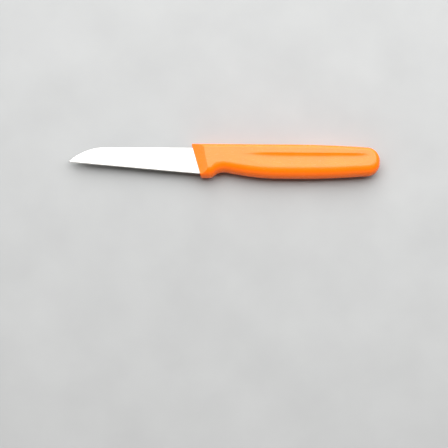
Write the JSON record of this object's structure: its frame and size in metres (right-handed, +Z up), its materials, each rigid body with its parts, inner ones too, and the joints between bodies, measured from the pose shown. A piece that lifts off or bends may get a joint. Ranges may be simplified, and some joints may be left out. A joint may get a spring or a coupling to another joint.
{
  "type": "paring knife",
  "caption": "Small straight-edged paring knife with a thin ground steel blade and a rounded one-piece orange plastic handle that has a thumb hollow along each side.",
  "frame": {"origin": "on the flat of the side that the knife lies on, where finger and thumb pinch the handle: 17 mm behind the front top corner of the handle and 7 mm below its spine", "axes": "+X from the point to the butt, +Y from the cutting edge to the spine, +Z up through the thickness, away from the side that the knife lies on"},
  "size_m": [0.1895, 0.0209, 0.0115],
  "materials": {
    "blade_steel": "finely ground, satin",
    "handle_plastic": "semi-gloss moulded polypropylene, orange"
  },
  "bodies": {
    "root": {"blade": "blade_steel", "handle": "handle_plastic"}
  },
  "joints": []
}
